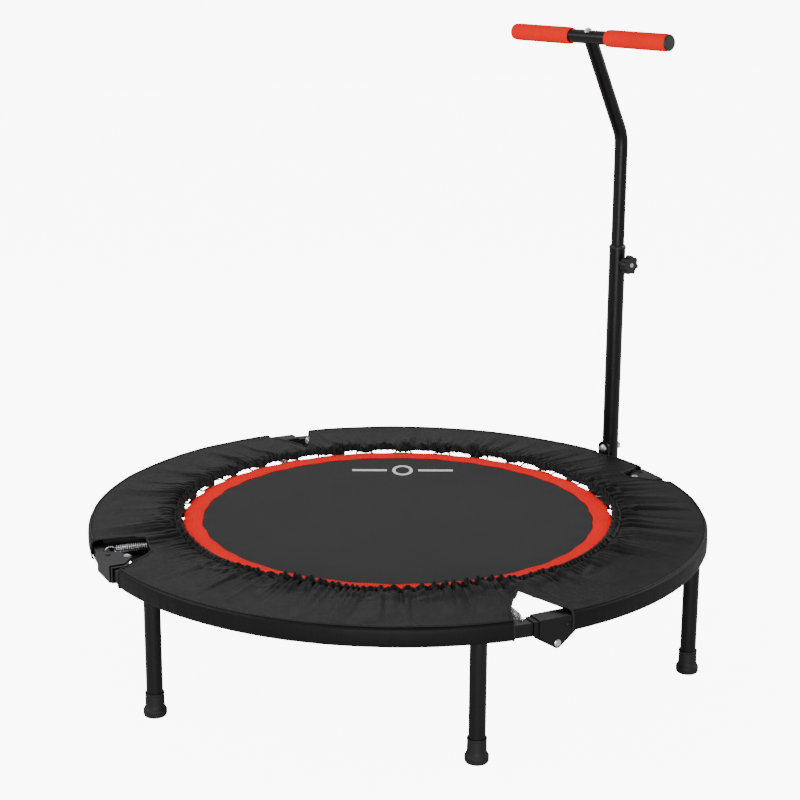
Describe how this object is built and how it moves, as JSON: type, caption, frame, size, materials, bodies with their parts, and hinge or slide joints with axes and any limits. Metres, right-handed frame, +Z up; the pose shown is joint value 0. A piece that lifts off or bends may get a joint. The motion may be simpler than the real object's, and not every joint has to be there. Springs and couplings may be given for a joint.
{
  "type": "mini trampoline",
  "caption": "Folding round mini trampoline with a sprung mat, a gathered spring cover, screw-in legs and a height-adjustable T handle.",
  "frame": {"origin": "centre of the ring, on the floor under the feet", "axes": "+Z up; +X towards the right side hinge; -Y towards the front fold hinge, so that the frame folds about the Y axis"},
  "size_m": [1.0345, 1.0168, 0.9857],
  "materials": {
    "frame_paint": "black powder coat",
    "leg_paint": "black powder coat",
    "hinge_paint": "black powder coat",
    "post_paint": "satin black powder coat",
    "zinc_steel": "zinc plate",
    "spring_steel": "drawn wire, zinc plate",
    "foot_rubber": "matte",
    "band_webbing": "woven, stitched",
    "tab_webbing": "woven webbing",
    "mat_fabric": "fine weave",
    "cover_fabric": "coated fabric, gathered",
    "black_plastic": "matte",
    "grip_foam": "closed-cell foam"
  },
  "bodies": {
    "handle_upper": {"arm_insert": "black_plastic", "crossbar": "post_paint", "crossbar_bolt": "zinc_steel", "grip_cap_left": "black_plastic", "grip_cap_right": "black_plastic", "grip_left": "grip_foam", "grip_right": "grip_foam", "post_glide": "black_plastic", "upper_post": "post_paint"},
    "half_a": {"cover_a": "cover_fabric", "frame_tube_back_right": "frame_paint", "frame_tube_front_right": "frame_paint", "hinge_inner_leaf_right": "hinge_paint", "hinge_outer_leaf_back": "hinge_paint", "hinge_outer_leaf_front": "hinge_paint", "hinge_outer_leaf_right": "hinge_paint", "hinge_pins_a": "zinc_steel", "knob_boss": "post_paint", "leaf_rivets_a": "zinc_steel", "leg_studs_a": "zinc_steel", "lower_post": "post_paint", "mat_a": "mat_fabric", "mat_band_a": "band_webbing", "mat_rings_a": "zinc_steel", "mat_tabs_a": "tab_webbing", "post_bolts": "zinc_steel", "post_bracket": "post_paint", "post_bushing": "black_plastic", "post_nuts": "zinc_steel", "post_plug": "black_plastic", "springs_a": "spring_steel"},
    "half_b": {"cover_b": "cover_fabric", "frame_tube_back_left": "frame_paint", "frame_tube_front_left": "frame_paint", "hinge_inner_leaf_back": "hinge_paint", "hinge_inner_leaf_front": "hinge_paint", "hinge_inner_leaf_left": "hinge_paint", "hinge_outer_leaf_left": "hinge_paint", "hinge_pin_b": "zinc_steel", "leaf_rivets_b": "zinc_steel", "leg_studs_b": "zinc_steel", "mat_b": "mat_fabric", "mat_band_b": "band_webbing", "mat_rings_b": "zinc_steel", "mat_tabs_b": "tab_webbing", "springs_b": "spring_steel"},
    "leg_1": {"foot_1": "foot_rubber", "leg_tube_1": "leg_paint"},
    "leg_2": {"foot_2": "foot_rubber", "leg_tube_2": "leg_paint"},
    "leg_3": {"foot_3": "foot_rubber", "leg_tube_3": "leg_paint"},
    "leg_4": {"foot_4": "foot_rubber", "leg_tube_4": "leg_paint"},
    "leg_5": {"foot_5": "foot_rubber", "leg_tube_5": "leg_paint"},
    "leg_6": {"foot_6": "foot_rubber", "leg_tube_6": "leg_paint"},
    "clamp_knob": {"knob": "black_plastic", "knob_screw": "zinc_steel"}
  },
  "joints": [
    {"name": "half_fold", "type": "hinge", "parent": "half_a", "child": "half_b", "pos_m": [0, 0, 0.173], "axis": [0, -1, 0], "range_deg": [0, 115]},
    {"name": "handle_height", "type": "slide", "parent": "half_a", "child": "handle_upper", "axis": [0, 0, 1], "range_m": [-0.15, 0.1]},
    {"name": "knob_turn", "type": "hinge", "parent": "half_a", "child": "clamp_knob", "pos_m": [0.50373, 0.13497, 0.57], "axis": [0.2079, -0.9781, 0], "continuous": true},
    {"name": "leg_1_unscrew", "type": "slide", "parent": "half_a", "child": "leg_1", "axis": [0, 0, -1], "range_m": [0, 0.03]},
    {"name": "leg_2_unscrew", "type": "slide", "parent": "half_a", "child": "leg_2", "axis": [0, 0, -1], "range_m": [0, 0.03]},
    {"name": "leg_3_unscrew", "type": "slide", "parent": "half_b", "child": "leg_3", "axis": [0, 0, -1], "range_m": [0, 0.03]},
    {"name": "leg_4_unscrew", "type": "slide", "parent": "half_b", "child": "leg_4", "axis": [0, 0, -1], "range_m": [0, 0.03]},
    {"name": "leg_5_unscrew", "type": "slide", "parent": "half_b", "child": "leg_5", "axis": [0, 0, -1], "range_m": [0, 0.03]},
    {"name": "leg_6_unscrew", "type": "slide", "parent": "half_a", "child": "leg_6", "axis": [0, 0, -1], "range_m": [0, 0.03]}
  ]
}
